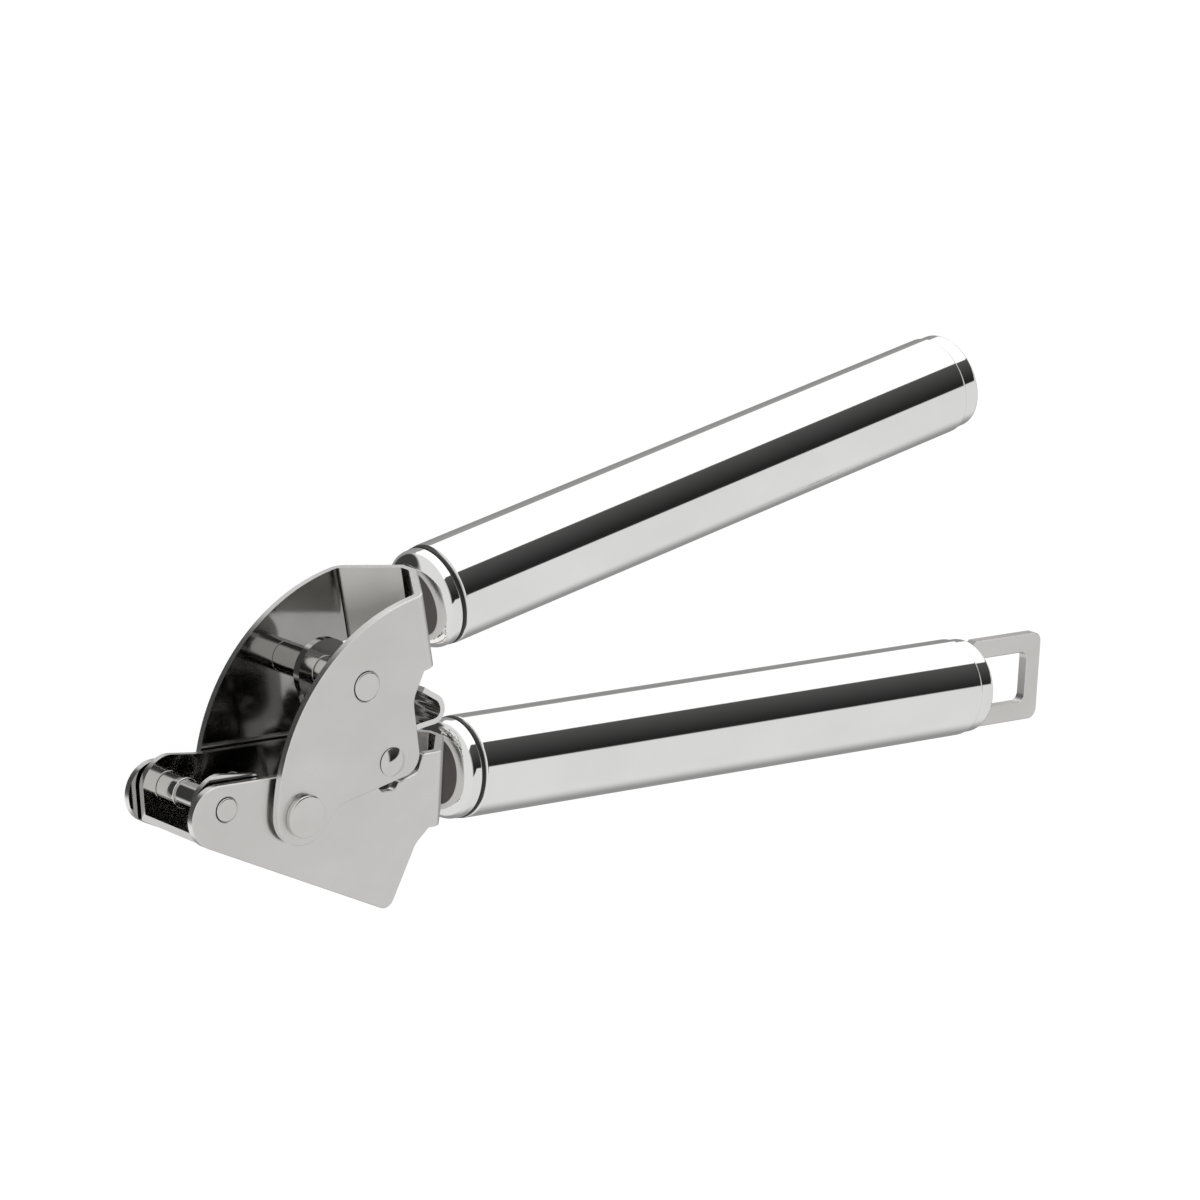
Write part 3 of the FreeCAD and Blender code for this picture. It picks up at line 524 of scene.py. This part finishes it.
def shoulder(x0, r0, x1, r1, count=24):
    """Quarter of an ellipse from (x0, r0), facing forwards, to (x1, r1), facing outwards."""
    angle = np.linspace(0, math.pi / 2, count)
    return np.stack([x1 - (x1 - x0) * np.cos(angle), r0 + (r1 - r0) * np.sin(angle)], axis=1)


tube_path = rounded([
    (TUBE_FRONT + 6, TUBE_BORE), (TUBE_FRONT, TUBE_BORE, BORE_ROUND),
    (TUBE_FRONT, TUBE_RADIUS, LIP_ROUND), (TUBE_REAR, TUBE_RADIUS, LIP_ROUND),
    (TUBE_REAR, TUBE_BORE, BORE_ROUND), (TUBE_REAR - 6, TUBE_BORE),
])
dish_path = rounded([
    (DISH_FLOOR, 0.0), (DISH_FLOOR, DISH_RADIUS, 0.25),
    (FERRULE_FRONT + 0.05, DISH_RADIUS + 0.2, 0.1), (FERRULE_FRONT, DISH_RIM),
])
nose_path = shoulder(FERRULE_FRONT, DISH_RIM, FERRULE_FRONT + SHOULDER_LENGTH, BAND_RADIUS)
band_path = rounded([
    (FERRULE_FRONT + SHOULDER_LENGTH + 0.1, BAND_RADIUS), (RING_FRONT - HAIR, BAND_RADIUS, 0.18),
    (RING_FRONT - HAIR, SPIGOT_RADIUS), (TUBE_FRONT + 5, SPIGOT_RADIUS),
])
ferrule_path = np.concatenate([dish_path, nose_path[1:], band_path])
ring_path = rounded([
    (RING_FRONT, RING_BORE), (RING_FRONT, RING_RADIUS, 0.3),
    (TUBE_FRONT, RING_RADIUS, 0.3), (TUBE_FRONT, RING_BORE),
])
cap_path = rounded([
    (TUBE_REAR - 5, CAP_SPIGOT), (TUBE_REAR + HAIR, CAP_SPIGOT),
    (TUBE_REAR + HAIR, CAP_RADIUS, 0.15), (CAP_REAR, CAP_RADIUS, 0.9), (CAP_REAR, 0.0),
])
print(f"tube {TUBE_REAR - TUBE_FRONT:.1f} mm long, {2 * TUBE_RADIUS:.1f} mm thick")

# %% [markdown]
# ## Handles
#
# Both handles are alike, so one function makes the four pieces for either: they are drawn
# on their own axis and then put in place. The upper handle would draw a streak along the
# whole lower tube, so all handle pieces are left out of mirror images, and each tube shows
# the room without the other handle. The dish in the ferrule's face is painted a darker
# steel, as painted shade.

# %% Handles
# Faces this near to the middle of a ferrule's face belong to its dish.
DISH_PAINTED = 6.3
HANDLE_PIECES = (
    ("tube", tube_path, mirror_tube, "polished_tube"),
    ("ferrule", ferrule_path, mirror_tube, "polished_tube"),
    ("seal_ring", ring_path, gap_shade_ring, "seal_ring"),
    ("end_cap", cap_path, mirror_tube, "polished_tube"),
)


def paint_dish(mesh, centre):
    """Give the faces that lie within DISH_PAINTED of centre their painted shade, a darker steel."""
    mesh.materials.append(dish_shade_steel)
    for polygon in mesh.polygons:
        if (polygon.center - Vector(centre)).length < DISH_PAINTED * MM:
            polygon.material_index = 1


def handle(prefix, put, axis_y, body):
    """The four turned pieces of one handle, on an axis at axis_y, placed by put."""
    for part, path, material, slot in HANDLE_PIECES:
        name = f"{prefix}_{part}_skin"
        mesh = grid_mesh(name, put(turned(doubled(path), "X") + np.array([0.0, axis_y, 0.0])))
        mesh.materials.append(material)
        if part == "ferrule":
            paint_dish(mesh, put(np.array([[DISH_FLOOR, axis_y, 0.0]]))[0])
        skin = place(name, mesh, body, f"{prefix}_{part}")
        skin.visible_glossy = False


handle("lower", in_lower, 0.0, "lower_handle")
handle("upper", in_upper, HANDLE_SPACING, "upper_handle")

# %% [markdown]
# ## Pins
#
# The press pin and the front pin are turned rod with wider ends, riveted flush into their
# side plates. Each is a profile round its own upright axis, and its length and its place
# come from the frame. The ends are broken by a small chamfer and stop just short of their
# hole, so a fine dark ring shows round a flush pin, as it does on the real tool.

# %% Pins
PIN_END_LENGTH = 1.65
PIN_CHAMFER = 0.25


def upright(node, path, body, centre=None):
    """Replace a node by its profile, turned about the upright axis through its centre."""
    x, y = middle_of(node)[:2] if centre is None else centre
    points = turned(doubled(path, 0.01), "Z") + np.array([x, y, 0.0])
    mesh = grid_mesh(f"{node}_skin", points * MM)
    mesh.materials.append(turned_rod)
    place(f"{node}_skin", mesh, body, node)


def pin_path(node, radius, end_radius):
    """Half profile of a pin whose two ends are wider, from its bottom to its top."""
    low, high = size_of(node)
    bottom, top = low[2], high[2]
    return rounded([
        (0.0, top), (end_radius, top, PIN_CHAMFER), (end_radius, top - PIN_END_LENGTH),
        (radius, top - PIN_END_LENGTH), (radius, bottom + PIN_END_LENGTH),
        (end_radius, bottom + PIN_END_LENGTH), (end_radius, bottom, PIN_CHAMFER), (0.0, bottom),
    ])


upright("press_pin", pin_path("press_pin", 2.0, 2.64), "upper_handle")
upright("front_pin", pin_path("front_pin", 1.7, 2.14), "lower_handle")

# %% [markdown]
# ## Pivot rivets and stop studs
#
# A pivot rivet has a low flat head with a rounded rim, and a stop stud has a domed one. The
# dome is part of a ball: over a chord of half length head, a rise of h needs a ball of
# radius (head squared + h squared) / 2h. Left and right are mirror images, so the sign of
# a side says which of a piece's two ends carries its head.

# %% Pivot rivets and stop studs
SIDES = {"left": 1, "right": -1}
RIVET_RADIUS = 2.75
RIVET_HEAD = 1.2
STUD_RADIUS = 1.5
STUD_HEAD = 1.1
STUD_RIM = 0.15


def head_of(node, sign):
    """Height of the head's outer face, height of the other end, and the head's radius."""
    low, high = size_of(node)
    outer, inner = (high[2], low[2]) if sign > 0 else (low[2], high[2])
    return outer, inner, (high[0] - low[0]) / 2


for side, sign in SIDES.items():
    outer, inner, head = head_of(f"pivot_rivet_{side}", sign)
    seat = outer - RIVET_HEAD * sign
    path = rounded([
        (0.0, outer), (head, outer, 0.35), (head, seat, 0.1), (RIVET_RADIUS, seat),
        (RIVET_RADIUS, inner, 0.3), (0.0, inner),
    ])
    upright(f"pivot_rivet_{side}", path, "lower_handle", centre=(0, 0))

    outer, inner, head = head_of(f"stop_stud_{side}", sign)
    rise = STUD_HEAD - STUD_RIM
    ball = (head ** 2 + rise ** 2) / (2 * rise)
    angle = np.linspace(0, math.asin(head / ball), 28)
    dome = np.stack([ball * np.sin(angle), outer - ball * sign * (1 - np.cos(angle))], axis=1)
    shank = rounded([(STUD_RADIUS, outer - STUD_HEAD * sign), (STUD_RADIUS, inner, 0.3), (0.0, inner)])
    upright(f"stop_stud_{side}", np.concatenate([dome, shank]), "upper_handle")

# %% [markdown]
# ## Spacers and washers
#
# They are short lengths of tube with broken edges. Each profile is a closed loop that
# starts and ends at the bore's lower edge.

# %% Spacers and washers
RINGS = (
    ("press_spacer_left", "upper_handle", 2.05), ("press_spacer_right", "upper_handle", 2.05),
    ("pivot_washer_left", "lower_handle", 2.8), ("pivot_washer_right", "lower_handle", 2.8),
    ("front_sleeve", "lower_handle", 1.75), ("front_collar", "lower_handle", 1.75),
)
RING_EDGE = 0.2
for node, body, bore in RINGS:
    low, high = size_of(node)
    radius = (high[0] - low[0]) / 2
    path = rounded([
        (bore, low[2]), (radius, low[2], RING_EDGE), (radius, high[2], RING_EDGE),
        (bore, high[2]), (bore, low[2]),
    ])
    upright(node, path, body)

# %% [markdown]
# ## Which faces of a sheet are cut edges
#
# A frame is one sheet folded over its web, so its two side plates lie flat, at the same
# distance above and below the middle plane. A face's direction then says what it is: a
# plate's outside looks away from the middle plane and its inside towards it, and an upright
# face is a cut edge or part of the web. The web's narrow nose, in the middle, faces the
# front like an edge but belongs to the inside.

# %% Faces of a sheet
UPRIGHT = 0.3
FLAT = 0.8
NOSE_HALF = 3.0
FOOT_CLEARANCE = 0.35
BASKET_INSIDE = size_of("press_foot")[1][2] - MIDDLE_Z + FOOT_CLEARANCE


def is_frame_edge(normal, height):
    """Cut edges of a frame: all upright faces but the flat nose of its web."""
    nose = abs(height) < NOSE_HALF and abs(normal.x) > 0.9
    return abs(normal.z) < UPRIGHT and not nose


def is_basket_edge(normal, height):
    """Rims of the basket's side walls; the floor and the rear wall face down and back."""
    return abs(normal.z) < UPRIGHT and abs(height) > BASKET_INSIDE and normal.y > -0.3


def is_inside(normal, height):
    """Faces of the side plates that look to the middle plane, and the web's nose."""
    looks_in = abs(normal.z) > FLAT and normal.z * height < 0
    return looks_in or (abs(normal.z) < UPRIGHT and abs(height) < NOSE_HALF)


print(f"the basket's side walls start {BASKET_INSIDE:.2f} mm from the middle plane")

# %% [markdown]
# ## Sheet pieces
#
# The frames, the loop, the plunger and the sieve are cut and folded sheet. Their CAD shapes
# already have the right outlines, so a copy of each is merged and shaded smooth across its
# bends, while edges that turn by more than BEND stay sharp. The copy is built afresh from
# its points and faces, so that it keeps none of the CAD mesh's own shading. The frames and
# the sieve then get a finish for the inside and one for the cut edges.

# %% Sheet pieces
BEND = 28.0


def merged_copy(node):
    """A fresh mesh from a CAD node's points and faces, with doubled points merged."""
    work = bmesh.new()
    work.from_mesh(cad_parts[node].data)
    bmesh.ops.remove_doubles(work, verts=work.verts, dist=2e-6)
    bmesh.ops.dissolve_degenerate(work, edges=work.edges, dist=1e-7)
    work.verts.index_update()
    corners = [tuple(vertex.co) for vertex in work.verts]
    faces = [[vertex.index for vertex in face.verts] for face in work.faces]
    work.free()
    mesh = bpy.data.meshes.new(f"{node}_sheet")
    mesh.from_pydata(corners, [], faces)
    mesh.validate()
    return mesh


def sheet_piece(node, body, outside, inside=None, is_edge=None):
    """Replace a sheet node; with is_edge, its inside and its cut edges get finishes too."""
    mesh = merged_copy(node)
    mesh.materials.append(outside)
    if is_edge is not None:
        # Painted light: a frame's inside finish is painted shade, and the cut edges get a painted
        # highlight.
        mesh.materials.append(inside)
        mesh.materials.append(cut_edge_highlight)
        for polygon in mesh.polygons:
            height = polygon.center.z / MM - MIDDLE_Z
            if is_edge(polygon.normal, height):
                polygon.material_index = 2
            elif is_inside(polygon.normal, height):
                polygon.material_index = 1
    mesh.shade_smooth()
    mesh.set_sharp_from_angle(angle=math.radians(BEND))
    place(f"{node}_sheet", mesh, body, node)


sheet_piece("lower_frame", "lower_handle", satin_sheet, inside_shade_sheet, is_frame_edge)
sheet_piece("upper_frame", "upper_handle", satin_sheet, inside_shade_sheet, is_frame_edge)
sheet_piece("hanging_loop", "lower_handle", satin_sheet)
sheet_piece("plunger_stem", "plunger", bright_sheet)
sheet_piece("press_foot", "plunger", bright_sheet)
sheet_piece("sieve_basket", "sieve", bright_sheet, bright_sheet, is_basket_edge)
